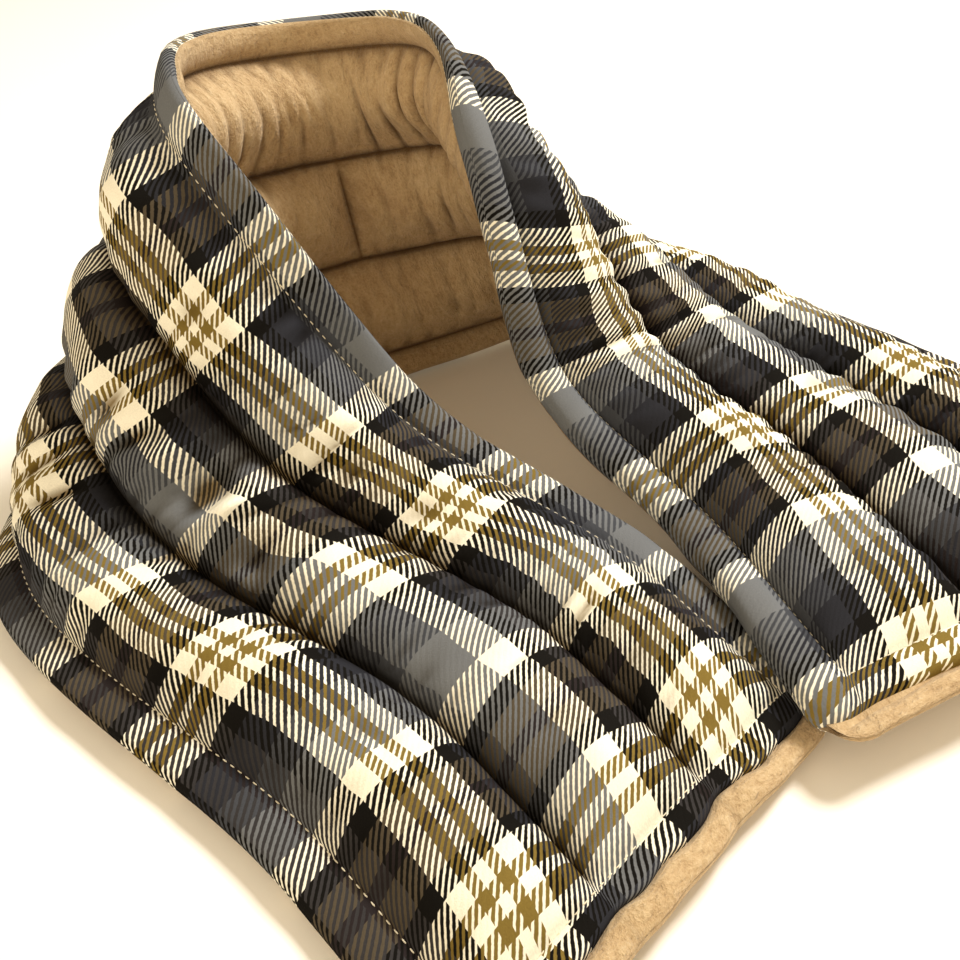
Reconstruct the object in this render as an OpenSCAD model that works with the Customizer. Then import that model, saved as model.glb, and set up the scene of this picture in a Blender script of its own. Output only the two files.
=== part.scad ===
// Neck and shoulder wrap: a rectangular band of plaid flannel and fleece, sewn into three
// lengthwise channels of grain and bent into a U that stands as a collar at the back.
// Millimetres, +Z up. The origin is on the table, under the middle of the wrap's box.
// The opening faces -Y and the left leg is on the -X side.

/* [Band] */
// Width of the flat flange outside the edge topstitching
flange_w = 13.5; // [12.5:0.5:15]
// Swell of each face over a filled channel
puff = 12.5; // [7:0.5:13]
// Height of the crosswise crown of the band
crown = 5; // [3:0.5:6]
// Thickness of the plaid flannel
flannel_t = 1.2; // [0.8:0.1:1.6]
// Thickness of the fleece
fleece_t = 3; // [2:0.25:3.5]

/* [Filling] */
// Space between the grain and the cloth around it
fill_gap = 0.5; // [0.3:0.1:1]

/* [Thread] */
// Diameter of the topstitching thread
thread_d = 0.9; // [0.6:0.1:1.2]
// Distance from the edge to the line of topstitching
stitch_inset = 12.5; // [9:0.5:12.5]

/* [Joints] */
// Place of the left soft hinge, measured along the band from the left front end
left_hinge = 318; // [312:1:324]
// Place of the right soft hinge, measured the same way
right_hinge = 462; // [456:1:468]
// Half of the length of bare cloth left open at each hinge
hinge_gap = 1.5; // [1:0.25:4]

/* [Hidden] */

// The band's route: [distance along it, inner (neck) edge, outer edge]
STATIONS = [
  [0,   [3, -277, 5],      [-140, -298, 4]],
  [90,  [15, -195, 6],     [-143, -212, 6]],
  [170, [-15, -122, 34],   [-160, -132, 6]],
  [220, [-35, -102, 80],   [-167, -76, 6]],
  [265, [-53, -91, 122],   [-144, -22, 4]],
  [310, [-57, -55, 147],   [-97, -8, 2]],
  [350, [-40, -18, 148],   [-45, -33, 1]],
  [390, [0, 0, 140],       [0, -42, 1]],
  [430, [38, -22, 140],    [39, -50, 1]],
  [470, [41, -66, 148],    [80, -56, 2]],
  [515, [23, -102, 122],   [125, -63, 4]],
  [560, [20, -116, 80],    [162, -92, 6]],
  [610, [18, -132, 33],    [177, -140, 6]],
  [690, [20, -206, 9],     [178, -232, 5]],
  [780, [-17, -289, 18],   [152, -327, 4]]
];
// How much of the crown the band has along it: below 0 it is hollow
CROWN_SHARE = [[0, 1], [90, 1], [150, 0.2], [200, -1.4], [245, -0.8], [290, 1.4], [340, 1],
  [470, 1], [530, 0.4], [600, 0.2], [690, 0.8], [780, 1]];
band_l = STATIONS[len(STATIONS) - 1][0];
// Middle of the wrap's box in the stations' own plan
MIDDLE = [6.6, -162.2, 0];
channel_w = 43;
band_w = 2 * flange_w + 3 * channel_w;
// The cross seam lies on row 10 of the neck's rows of points
neck_rows = 17;
mid_row = 10;
cross_s = mix(left_hinge + hinge_gap, right_hinge - hinge_gap, mid_row / (neck_rows - 1));
seam_gap = 0.05;
thread_gap = 0.25;
// How far along the band each seam and hinge draws the swell in, and a hinge's share
end_reach = 20;
cross_reach = 14;
hinge_reach = 20;
hinge_draw = 0.4;
ease = 30;
step = 3;
EASE_AT = [for (k = [-3:3]) k * ease / 3];
EASE_BY = [1, 2, 3, 4, 3, 2, 1] / 16;
CHANNEL_AT = [0.1, 0.28, 0.5, 0.72, 0.9];
plaid_colour = [0.35, 0.33, 0.30];
fleece_colour = [0.79, 0.63, 0.42];
grain_colour = [0.80, 0.72, 0.50];
thread_colour = [0.93, 0.90, 0.82];

// ---- route of the band ----

function unit(v) = v / norm(v);
function mix(a, b, t) = a + (b - a) * t;
function beyond(e, near, far) =
  let (a = STATIONS[near], b = STATIONS[far], way = ease * sign(a[0] - b[0]))
  [a[0] + way, a[e] - MIDDLE + (a[e] - b[e]) * way / (a[0] - b[0])];
function rail(e) = concat([beyond(e, 0, 1)], [for (st = STATIONS) [st[0], st[e] - MIDDLE]],
  [beyond(e, len(STATIONS) - 1, len(STATIONS) - 2)]);
function axis_table(r, k) = [for (p = r) [p[0], p[1][k]]];
INNER = [for (k = [0:2]) axis_table(rail(1), k)];
OUTER = [for (k = [0:2]) axis_table(rail(2), k)];

// A rail eased round its stations by a weighted mean over a short length
function sum(list, i = 0) = i == len(list) - 1 ? list[i] : list[i] + sum(list, i + 1);
function eased(table, s) = [for (k = [0:2])
  sum([for (j = [0:6]) EASE_BY[j] * lookup(s + EASE_AT[j], table[k])])];
function edges(s) = let (a = eased(INNER, s), b = eased(OUTER, s),
    da = eased(INNER, s + step) - eased(INNER, s - step),
    db = eased(OUTER, s + step) - eased(OUTER, s - step))
  [a, b, da, db, sum([for (j = [0:6]) EASE_BY[j] * lookup(s + EASE_AT[j], CROWN_SHARE)])];
// A point at fraction t of the width, h out from the middle surface, never below the floor
function at(e, t, h, floor_z = 0) =
  let (n = unit(cross(mix(e[2], e[3], t), e[1] - e[0])),
    p = mix(e[0], e[1], t) + n * (h + crown * e[4] * (1 - pow(2 * t - 1, 2))))
  [p[0], p[1], max(p[2], floor_z)];

// ---- section of the band ----

function frac(c) = c / band_w;
CHANNEL_C = [for (i = [0:2]) flange_w + i * channel_w];
ACROSS = concat([0, stitch_inset], [for (c = CHANNEL_C) each concat([c],
  [for (x = CHANNEL_AT) c + x * channel_w])], [band_w - flange_w, band_w - stitch_inset, band_w]);
function channel_x(c) = (c - flange_w) / channel_w;
function in_channel(c) = channel_x(c) > 0 && channel_x(c) < 3;
// Swell across a channel, and how a hinge, an end seam or the cross seam draws it in
function swell(c) = !in_channel(c) ? 0
  : pow(max(0, sin(180 * (channel_x(c) - floor(channel_x(c))))), 0.75);
function near(s, place, reach) = max(0, 1 - abs(s - place) / reach);
function filled(s) =
  let (inside = min(s, band_l - s) - stitch_inset)
  pow(sin(90 * max(0, min(1, inside / end_reach))), 0.7);
function drawn(s, c) =
  let (hinge = max(near(s, left_hinge, hinge_reach), near(s, right_hinge, hinge_reach)),
    middle = channel_x(c) > 1 && channel_x(c) < 2,
    cross = middle ? 1 - pow(near(s, cross_s, cross_reach), 2) : 1)
  (1 - hinge_draw * hinge) * cross * filled(s);
function lift(s, c) = seam_gap / 2 + puff * swell(c) * drawn(s, c);

// ---- solids ----

function rows_of(from, to, n) = [for (i = [0:n - 1]) from + (to - from) * i / (n - 1)];
function grid(rows, side, off, columns, floor_z) = [for (s = rows) let (e = edges(s))
  [for (c = columns) at(e, frac(c), side * (lift(s, c) + off), floor_z)]];

// A closed shell between two grids of points that have the same rows and columns
module shell(upper, lower) {
  r = len(upper);
  c = len(upper[0]);
  function id(k, i, j) = k * r * c + i * c + j;
  function quad(p, q, u, v) = [[p, q, u], [p, u, v]];
  polyhedron(
    points = concat([for (row = upper) each row], [for (row = lower) each row]),
    faces = concat(
      [for (i = [0:r - 2], j = [0:c - 2]) each
        quad(id(0, i, j), id(0, i, j + 1), id(0, i + 1, j + 1), id(0, i + 1, j))],
      [for (i = [0:r - 2], j = [0:c - 2]) each
        [[id(1, i, j), id(1, i + 1, j + 1), id(1, i, j + 1)],
         [id(1, i, j), id(1, i + 1, j), id(1, i + 1, j + 1)]]],
      [for (i = [0:r - 2]) each
        quad(id(0, i + 1, 0), id(1, i + 1, 0), id(1, i, 0), id(0, i, 0))],
      [for (i = [0:r - 2]) each
        quad(id(0, i, c - 1), id(1, i, c - 1), id(1, i + 1, c - 1), id(0, i + 1, c - 1))],
      [for (j = [0:c - 2]) each
        quad(id(0, 0, j), id(1, 0, j), id(1, 0, j + 1), id(0, 0, j + 1))],
      [for (j = [0:c - 2]) each
        quad(id(0, r - 1, j + 1), id(1, r - 1, j + 1), id(1, r - 1, j), id(0, r - 1, j))]),
    convexity = 10);
}

module flannel(rows) {
  color(plaid_colour)
    shell(grid(rows, 1, flannel_t, ACROSS, fleece_t + flannel_t + 2 * seam_gap),
      grid(rows, 1, 0, ACROSS, fleece_t + 2 * seam_gap));
}

module fleece(rows) {
  color(fleece_colour)
    shell(grid(rows, -1, 0, ACROSS, fleece_t), grid(rows, -1, fleece_t, ACROSS, 0));
}

// Grain in channel i, from 0 at the neck side to 2 at the outer side
module grain(rows, i) {
  columns = [for (x = CHANNEL_AT) CHANNEL_C[i] + x * channel_w];
  color(grain_colour)
    shell(grid(rows, 1, -fill_gap, columns, fleece_t + 3 * fill_gap),
      grid(rows, -1, -fill_gap, columns, fleece_t + 2 * fill_gap));
}

// A thread swept through points that stand clear of the flannel
function ring(p, way, out) = let (side = unit(cross(way, out)), r = thread_d / 2)
  [p + out * r, p + side * r, p - out * r, p - side * r];
module thread(points, outs) {
  n = len(points);
  rings = [for (i = [0:n - 1])
    ring(points[i], points[min(i + 1, n - 1)] - points[max(i - 1, 0)], outs[i])];
  color(thread_colour)
    polyhedron(
      points = [for (r = rings) each r],
      faces = concat([[3, 2, 1, 0]],
        [for (i = [0:n - 2], k = [0:3]) each let (m = (k + 1) % 4)
          [[4 * i + k, 4 * i + m, 4 * i + 4 + m], [4 * i + k, 4 * i + 4 + m, 4 * i + 4 + k]]],
        [[4 * n - 4, 4 * n - 3, 4 * n - 2, 4 * n - 1]]),
      convexity = 10);
}
function out_of(e, t) = unit(cross(mix(e[2], e[3], t), e[1] - e[0]));
clear_h = flannel_t + seam_gap + thread_d / 2 + thread_gap;
module lengthwise_thread(rows, c) {
  thread([for (s = rows) at(edges(s), frac(c), lift(s, c) + clear_h)],
    [for (s = rows) out_of(edges(s), frac(c))]);
}
module crosswise_thread(s, columns) {
  e = edges(s);
  thread([for (c = columns) at(e, frac(c), lift(s, c) + clear_h)],
    [for (c = columns) out_of(e, frac(c))]);
}

// ---- the three bodies of the band ----

// Rows of points along each body: the legs have a row at the end, at its seam and just past it
leg_rows = 18;
past_seam = 5;
function part_of(rows, first, last) = [for (i = [first:last]) rows[i]];
LEFT = concat([0, stitch_inset],
  rows_of(stitch_inset + past_seam, left_hinge - hinge_gap, leg_rows));
NECK = rows_of(left_hinge + hinge_gap, right_hinge - hinge_gap, neck_rows);
RIGHT = concat(rows_of(right_hinge + hinge_gap, band_l - stitch_inset - past_seam, leg_rows),
  [band_l - stitch_inset, band_l]);

// The grain lies on rows of the cloth, one short of each hinge and of the cross seam
LEFT_FILL = part_of(LEFT, 2, leg_rows);
NECK_FILL = part_of(NECK, 1, neck_rows - 2);
NECK_FILL_L = part_of(NECK, 1, mid_row - 1);
NECK_FILL_R = part_of(NECK, mid_row + 1, neck_rows - 2);
RIGHT_FILL = part_of(RIGHT, 1, leg_rows - 1);

module edge_stitching(rows) {
  lengthwise_thread(rows, stitch_inset);
  lengthwise_thread(rows, band_w - stitch_inset);
}
module channel_seams(rows) {
  lengthwise_thread(rows, CHANNEL_C[1]);
  lengthwise_thread(rows, CHANNEL_C[2]);
}
module end_stitching(s) {
  crosswise_thread(s, part_of(ACROSS, 2, len(ACROSS) - 3));
}

module neck_plaid_face() { flannel(NECK); }
module neck_fleece_lining() { fleece(NECK); }
module neck_inner_fill() { grain(NECK_FILL, 0); }
module neck_middle_fill_left() { grain(NECK_FILL_L, 1); }
module neck_middle_fill_right() { grain(NECK_FILL_R, 1); }
module neck_outer_fill() { grain(NECK_FILL, 2); }
module neck_edge_stitching() { edge_stitching(NECK); }
module neck_channel_seams() { channel_seams(NECK); }
module neck_cross_seam() {
  crosswise_thread(cross_s, [for (x = CHANNEL_AT) CHANNEL_C[1] + x * channel_w]);
}

module left_leg_plaid_face() { flannel(LEFT); }
module left_leg_fleece_lining() { fleece(LEFT); }
module left_leg_inner_fill() { grain(LEFT_FILL, 0); }
module left_leg_middle_fill() { grain(LEFT_FILL, 1); }
module left_leg_outer_fill() { grain(LEFT_FILL, 2); }
module left_leg_edge_stitching() { edge_stitching(part_of(LEFT, 1, leg_rows + 1)); }
module left_leg_channel_seams() { channel_seams(part_of(LEFT, 2, leg_rows + 1)); }
module left_leg_end_stitching() { end_stitching(stitch_inset); }

module right_leg_plaid_face() { flannel(RIGHT); }
module right_leg_fleece_lining() { fleece(RIGHT); }
module right_leg_inner_fill() { grain(RIGHT_FILL, 0); }
module right_leg_middle_fill() { grain(RIGHT_FILL, 1); }
module right_leg_outer_fill() { grain(RIGHT_FILL, 2); }
module right_leg_edge_stitching() { edge_stitching(part_of(RIGHT, 0, leg_rows)); }
module right_leg_channel_seams() { channel_seams(part_of(RIGHT, 0, leg_rows - 1)); }
module right_leg_end_stitching() { end_stitching(band_l - stitch_inset); }

neck_plaid_face();
neck_fleece_lining();
neck_inner_fill();
neck_middle_fill_left();
neck_middle_fill_right();
neck_outer_fill();
neck_edge_stitching();
neck_channel_seams();
neck_cross_seam();
left_leg_plaid_face();
left_leg_fleece_lining();
left_leg_inner_fill();
left_leg_middle_fill();
left_leg_outer_fill();
left_leg_edge_stitching();
left_leg_channel_seams();
left_leg_end_stitching();
right_leg_plaid_face();
right_leg_fleece_lining();
right_leg_inner_fill();
right_leg_middle_fill();
right_leg_outer_fill();
right_leg_edge_stitching();
right_leg_channel_seams();
right_leg_end_stitching();
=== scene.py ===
"""Plaid neck and shoulder wrap: cloth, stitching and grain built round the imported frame."""
import math

import bpy
import numpy as np
from mathutils import Matrix, Vector


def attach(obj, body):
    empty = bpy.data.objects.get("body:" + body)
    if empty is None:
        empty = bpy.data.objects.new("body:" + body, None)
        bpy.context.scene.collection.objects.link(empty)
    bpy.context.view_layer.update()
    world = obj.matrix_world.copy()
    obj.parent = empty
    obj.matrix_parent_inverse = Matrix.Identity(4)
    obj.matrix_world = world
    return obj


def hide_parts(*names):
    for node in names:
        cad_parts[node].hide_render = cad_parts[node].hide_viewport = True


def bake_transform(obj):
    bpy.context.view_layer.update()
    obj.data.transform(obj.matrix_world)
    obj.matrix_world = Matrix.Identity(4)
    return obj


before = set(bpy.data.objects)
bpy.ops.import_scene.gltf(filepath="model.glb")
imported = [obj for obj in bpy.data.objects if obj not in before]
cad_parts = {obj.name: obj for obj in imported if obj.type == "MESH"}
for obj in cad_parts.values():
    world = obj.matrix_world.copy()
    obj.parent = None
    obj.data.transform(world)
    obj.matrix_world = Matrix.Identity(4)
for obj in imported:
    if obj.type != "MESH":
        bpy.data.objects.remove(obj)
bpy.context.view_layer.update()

# ---- sizes, in millimetres ----

MM = 1000.0  # millimetres in a metre, Blender's unit
TINY = 1e-9  # keeps a division away from zero

# The band's route: (distance along it, inner (neck) edge, outer edge)
STATIONS = [
    (0, (3, -277, 5), (-140, -298, 4)),
    (90, (15, -195, 6), (-143, -212, 6)),
    (170, (-15, -122, 34), (-160, -132, 6)),
    (220, (-35, -102, 80), (-167, -76, 6)),
    (265, (-53, -91, 122), (-144, -22, 4)),
    (310, (-57, -55, 147), (-97, -8, 2)),
    (350, (-40, -18, 148), (-45, -33, 1)),
    (390, (0, 0, 140), (0, -42, 1)),
    (430, (38, -22, 140), (39, -50, 1)),
    (470, (41, -66, 148), (80, -56, 2)),
    (515, (23, -102, 122), (125, -63, 4)),
    (560, (20, -116, 80), (162, -92, 6)),
    (610, (18, -132, 33), (177, -140, 6)),
    (690, (20, -206, 9), (178, -232, 5)),
    (780, (-17, -289, 18), (152, -327, 4)),
]
MIDDLE = np.array([6.6, -162.2, 0.0])  # middle of the wrap's box in the stations' own plan
BAND_L = 780.0  # along the band
BAND_W = 156.0  # across the filled band
CROSS_S = 407.6  # the cross seam, along the band
HINGES = (318.0, 462.0)  # where the legs fold away from the neck
FINE_STEP = 0.5  # between the places where the route is worked out
BEYOND = 100.0  # the route runs on this far past each end
EASE = 40.0  # the route is eased this far each way
STITCH = 12.5  # from the edge to the topstitching
SEAMS = (56.0, 100.0)  # channel seams, across the band
CHANNELS = (STITCH, *SEAMS, BAND_W - STITCH)
CHANNEL_CLOTH = 52.0  # cloth across one puffed channel
FLANGE_CLOTH = 18.0  # cloth across one flange, with its rolled edge
PUFF = {"plaid": 14.0, "fleece": 15.0}  # how far a full crest stands out beyond the seams
ROUND = {"plaid": 0.55, "fleece": 0.78}  # power of the sine across a channel: less is squarer
EDGE_EASE = 0.45  # added to that power beside the topstitching, where the cloth rises gently
END_RISE = (22, 0.7)  # run and power of the channels' rise from the end stitches
CROSS_RISE = (20, 0.85)  # and from the cross seam
HINGE_SLACK = (16, 0.12)  # over this run at a soft hinge, the channels are this much less full
END_DROOP = 6.0  # the right leg's raised end turns down by this much
END_THIN = 0.3  # and its lining's roll is this much flatter
END_PULL, END_PULL_RUN = 1.6, 7.0  # a channel seam draws the end edges in: how far, how wide
FOLD = (470, 60, 3.6, 2.5)  # the right leg's inner flange: start, run, crest and turn-down
# Height of the crosswise crown of the band along it: below 0 the band is hollow
CROWN = [(0, 5), (90, 5), (150, 1), (200, -7), (245, -4), (290, 7), (340, 5), (470, 5),
         (530, 2), (600, 1), (690, 4), (780, 5)]
# How dark the painted shade in the plaid's seam valleys is along the band, from 0 to 1
VALLEY_SHADE = [(0, 0.2), (90, 0.3), (150, 1), (280, 1), (330, 0.3), (450, 0.3), (500, 0.7),
           (680, 0.7), (740, 0.2), (780, 0.2)]
LINING_VALLEY_SHADE = 0.2  # painted shade of the lining's seam valleys, the same all along
THICK = {"plaid": 1.2, "fleece": 3.0}  # of each cloth
SEAM_T = {"plaid": 1.3, "fleece": 2.0}  # from the middle surface to a seam's outer face
ROLL_T = 0.9  # cloth thickness inside the rolled edge
LEAST_T = 0.05  # from the middle surface to a cloth's inner face, at least
CORNER_R = 12.0  # of the band's four corners
ROLL_CLOTH = 10.0  # more fleece than the flat flange needs, taken up by its roll
# Lowest height of each cloth's (outer, inner) face, at its edge and away from it
EDGE_FLOORS = {"plaid": (0.3, 0.9), "fleece": (0.0, 0.7)}
FLOORS = {"plaid": (4.4, 3.2), "fleece": (0.0, 3.0)}

# Rolled edges as outlines of (inward from the edge, height), from the seam to the stitch line
ROLLS = {
    ("plaid", "side"): [(0.9, -2.6), (-0.7, -0.8), (0.6, 1.7), (5.2, 2.6), (9.6, 2.3), (12.5, 1.3)],
    ("plaid", "end"): [(3.4, 0), (3.7, 1.6), (5.4, 2.5), (8.4, 2.5), (10.8, 1.9), (12.5, 1.3)],
    ("fleece", "side"): [(0.9, -2.6), (0.8, -3.7), (2.6, -4.8), (6.4, -5.0), (10, -4), (12.5, -2)],
    ("fleece", "end"): [(3.4, 0), (0.8, 2.1), (-4, 1.3), (-4.2, -3), (1.6, -4.8), (12.5, -2)],
}


# ---- small tools ----

def smooth(x):
    """Smoothstep of x held between 0 and 1."""
    x = np.clip(x, 0, 1)
    return x * x * (3 - 2 * x)


def bell(x):
    """1 at x = 0, dying away on both sides."""
    return np.exp(-x * x)


def rise(distance, run, power):
    """From 0 to 1 over the run, with a level top."""
    return np.sin(np.pi / 2 * np.clip(distance / run, 0, 1)) ** power


def noise(x, y, seed):
    """A smooth field from -1 to 1, with cells one unit wide. Each seed gives its own field."""
    size = 97
    lattice = np.random.RandomState(seed).uniform(-1, 1, (size, size))
    i, j = np.floor(x).astype(int), np.floor(y).astype(int)
    fx, fy = smooth(x - i), smooth(y - j)
    a, b = lattice[i % size, j % size], lattice[(i + 1) % size, j % size]
    c, d = lattice[i % size, (j + 1) % size], lattice[(i + 1) % size, (j + 1) % size]
    return (a * (1 - fx) + b * fx) * (1 - fy) + (c * (1 - fx) + d * fx) * fy


def curve(points, u):
    """A smooth curve through points, at u from 0 to 1."""
    p = np.array(points, float)
    p = np.vstack([2 * p[0] - p[1], p, 2 * p[-1] - p[-2]])
    x = np.clip(u, 0, 1) * (len(p) - 3)
    i = np.minimum(np.floor(x).astype(int), len(p) - 4)
    t = (x - i)[..., None]
    a, b, c, d = p[i], p[i + 1], p[i + 2], p[i + 3]
    return 0.5 * (2 * b + (c - a) * t + (2 * a - 5 * b + 4 * c - d) * t * t
                  + (3 * b - a - 3 * c + d) * t ** 3)


# ---- route and section of the band ----

FINE = np.arange(-BEYOND, BAND_L + BEYOND + FINE_STEP / 2, FINE_STEP)


def ease_line(line):
    """Values along the band, eased by a triangular mean."""
    weight = 1 - np.abs(np.arange(-EASE, EASE + FINE_STEP / 2, FINE_STEP)) / EASE
    return np.convolve(line, weight / weight.sum(), mode="same")


def rail(edge):
    """One edge of the band at every place in FINE."""
    s = np.array([st[0] for st in STATIONS], float)
    p = np.array([st[edge] for st in STATIONS], float) - MIDDLE
    before = p[0] + (p[0] - p[1]) * BEYOND / (s[1] - s[0])
    after = p[-1] + (p[-1] - p[-2]) * BEYOND / (s[-1] - s[-2])
    s = np.concatenate([[s[0] - BEYOND], s, [s[-1] + BEYOND]])
    p = np.vstack([before, p, after])
    return np.stack([ease_line(np.interp(FINE, s, p[:, k])) for k in range(3)], 1)


RAILS = [rail(1), rail(2)]
CROWNS = ease_line(np.interp(FINE, *zip(*CROWN)))
SLOPES = [np.gradient(r, FINE_STEP, axis=0) for r in RAILS]


def along(table, s):
    """A table of points by FINE, read at s."""
    return np.stack([np.interp(s, FINE, table[:, k]) for k in range(3)], -1)


def place(s, c, h):
    """The point at s along, c across and h out of the middle surface on the plaid side."""
    a, b = along(RAILS[0], s), along(RAILS[1], s)
    t = (c / BAND_W)[..., None]
    way = along(SLOPES[0], s) * (1 - t) + along(SLOPES[1], s) * t
    n = np.cross(way, b - a)
    n /= np.linalg.norm(n, axis=-1, keepdims=True)
    crown = np.interp(s, FINE, CROWNS)[..., None]
    return a + (b - a) * t + n * (h[..., None] + crown * (1 - (2 * t - 1) ** 2))


def channel_part(c):
    """Fraction of the way across the channel that c lies in."""
    part = np.zeros_like(c)
    for lo, hi in zip(CHANNELS, CHANNELS[1:]):
        inside = (c >= lo) & (c <= hi)
        part = np.where(inside, (c - lo) / (hi - lo), part)
    return part


def swell(kind, s, c):
    """How full the channels are, from 0 at a seam to 1 on a full crest."""
    part = channel_part(c)
    off = np.where(c < SEAMS[0], 1 - part, np.where(c > SEAMS[1], part, 0))  # towards the edge
    gentle = np.where((s > FOLD[0]) & (c < SEAMS[0]), 0, EDGE_EASE * off ** 2)
    full = np.sin(np.pi * part).clip(0) ** (ROUND[kind] + gentle)
    inside = np.minimum(s, BAND_L - s) - STITCH
    full = full * rise(inside, *END_RISE)
    middle = (c > SEAMS[0]) & (c < SEAMS[1])
    full = np.where(middle, full * rise(np.abs(s - CROSS_S), *CROSS_RISE), full)
    run, slack = HINGE_SLACK
    for hinge in HINGES:
        full = full * (1 - slack * bell((s - hinge) / run))
    return full


def cloth_v():
    """Table from c, every 0.1 mm, to distance over the cloth."""
    c = np.linspace(0, BAND_W, 1561)
    height = PUFF["plaid"] * np.sin(np.pi * channel_part(c)).clip(0) ** ROUND["plaid"]
    arc = np.concatenate([[0], np.cumsum(np.hypot(np.diff(c), np.diff(height)))])
    knots = [0, *CHANNELS, BAND_W]
    goal = [0] + [FLANGE_CLOTH + CHANNEL_CLOTH * k for k in range(4)]
    goal.append(goal[-1] + FLANGE_CLOTH)
    return c, np.interp(arc, np.interp(knots, c, arc), goal)


CLOTH_V = cloth_v()


# ---- details of the cloth's shape ----

PUCKER_START, PUCKER_REACH = 3.0, 12.0  # a pucker rises, then dies away, this far from its seam
TAUT = 1.03  # cloth this much longer than its surface still lies flat
STRETCH_ROWS = 9  # the stretch is a mean over this many rows each way


def puckers(s, c, gap, depth, seed):
    """Short gathers that run out of both sides of every stitch line, some stronger than others."""
    total = np.zeros_like(c)
    for k, seam in enumerate(CHANNELS):
        for side in (-1, 1):
            off = (c - seam) * side
            wander = noise(s / 31, np.full_like(s, k + 7.5 * side), seed)
            strength = noise(s / 37, np.full_like(s, k + 3.5 * side), seed + 50)
            fade = bell(off / PUCKER_REACH) * (1 - bell(off / PUCKER_START)) * (off > 0)
            wave = np.sin(2 * np.pi * (s / gap + 1.3 * wander))
            total += depth * fade * (0.6 + 0.6 * strength) * wave
    return total


def gathers(s, c, stretch, gap, seed, top):
    """Folds across the band, where the surface is shorter than its cloth."""
    spare = np.clip(1 / np.clip(stretch, 0.5, 2) - TAUT, 0, None)
    height = np.minimum(gap / np.pi * np.sqrt(spare), top)
    phase = s / gap + 0.45 * noise(s / 25, c / 30, seed) + 0.12 * noise(s / 8, c / 12, seed + 1)
    crest = np.abs(np.sin(np.pi * phase)) ** 0.75 - 0.65
    uneven = 0.75 + 0.35 * noise(s / 14, c / 60, seed + 2)
    return height * crest * uneven * np.sqrt(np.clip(np.sin(np.pi * channel_part(c)), 0, 1))


# Hollows and folds of the plaid, as (s, c, half length, half width, turn in degrees, height)
PLAID_DENTS = [
    (199, 78, 7, 12, 12, -10.5),
    (184, 80, 4.5, 16, 12, 6.0),
    (164, 88, 8, 11, 10, -6.5),
    (146, 82, 6, 14, 5, 2.2),
    (120, 80, 12, 12, 0, -2.0),
    (216, 76, 5, 14, 5, 4.0),
    (230, 84, 4, 12, -8, -4.4),
    (246, 84, 4, 13, 0, -4.6),
    (232, 112, 4, 15, -10, -5.0),
    (248, 116, 4, 14, 0, -3.6),
    (262, 108, 4, 15, 0, -5.4),
    (210, 120, 7, 12, 0, -4.0),
    (174, 46, 8, 6, 20, -3.0),
    (138, 44, 9, 7, -15, -2.4),
    (250, 38, 7, 9, 0, -2.2),
    (100, 62, 14, 7, 20, -3.0),
    (50, 78, 8, 12, 0, -2.6),
    (66, 34, 10, 10, 15, -2.0),
    (88, 122, 12, 9, 10, -2.0),
    (30, 118, 8, 12, -10, -1.8),
    (748, 30, 14, 11, 0, -3.4),
    (716, 76, 9, 12, 10, -2.0),
    (664, 80, 8, 13, 0, -2.2),
    (560, 36, 9, 10, 0, -2.0),
    (600, 118, 10, 12, 0, -2.2),
    (520, 80, 6, 14, 0, -2.2),
]
# Creases that the bend presses into the lining's top channel, and softer ones below
FLEECE_DENTS = [
    (408, 48, 1.8, 13, 0, -2.2),
    (425, 46, 1.5, 17, 0, -3.8),
    (437, 45, 1.5, 18, 0, -4.0),
    (448, 45, 1.5, 19, 0, -4.0),
    (457, 45, 1.5, 20, 0, -3.8),
    (465, 45, 1.5, 20, 0, -3.4),
    (395, 46, 1.8, 14, 0, -2.4),
    (384, 44, 1.6, 16, 2, -2.0),
    (375, 46, 1.8, 15, 3, -2.4),
    (364, 44, 1.8, 17, 3, -2.2),
    (354, 44, 1.8, 16, 4, -2.4),
    (343, 44, 2.0, 17, 4, -2.0),
    (422, 78, 4.0, 24, -6, -2.6),
    (440, 84, 2.6, 14, 0, -1.4),
    (452, 82, 2.6, 14, 0, -1.4),
    (412, 120, 5.0, 20, 0, 2.0),
    (400, 122, 3.4, 20, 0, -1.8),
    (440, 124, 4.0, 20, 0, -1.4),
]


def dents(s, c, rows):
    """Sum of the rows' soft oval hollows and ridges."""
    total = np.zeros_like(c)
    for at_s, at_c, half_l, half_w, turn, height in rows:
        a = math.radians(turn)
        x = (s - at_s) * math.cos(a) + (c - at_c) * math.sin(a)
        y = -(s - at_s) * math.sin(a) + (c - at_c) * math.cos(a)
        total += height * bell(x / half_l) * bell(y / half_w)
    return total


# Small forms of each cloth. Lumps are (height, cell along, cell across), puckers (gap, depth),
# and gathers (gap, greatest height). The dents grow with the swell to the given power.
RELIEF = {
    "plaid": {"lumps": ((1.5, 23, 19), (0.8, 10, 9)), "puckers": (12, 1.7), "gathers": (15, 1.8),
              "dents": PLAID_DENTS, "power": 1, "seed": 3},
    "fleece": {"lumps": ((1.2, 19, 16), (0.5, 8, 9)), "puckers": (11, 1), "gathers": (10, 1.6),
               "dents": FLEECE_DENTS, "power": 0.5, "seed": 13},
}


def relief(kind, s, c, stretch):
    """Height of the small forms over the plain swell."""
    full, forms = swell(kind, s, c), RELIEF[kind]
    seed = forms["seed"]
    lumps = sum(height * noise(s / run, c / width, seed + k)
                for k, (height, run, width) in enumerate(forms["lumps"]))
    gap, top = forms["gathers"]
    return (full * lumps + puckers(s, c, *forms["puckers"], seed + 2)
            + gathers(s, c, stretch, gap, seed + 5, top)
            + full ** forms["power"] * dents(s, c, forms["dents"]))


# ---- grids of points ----

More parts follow.
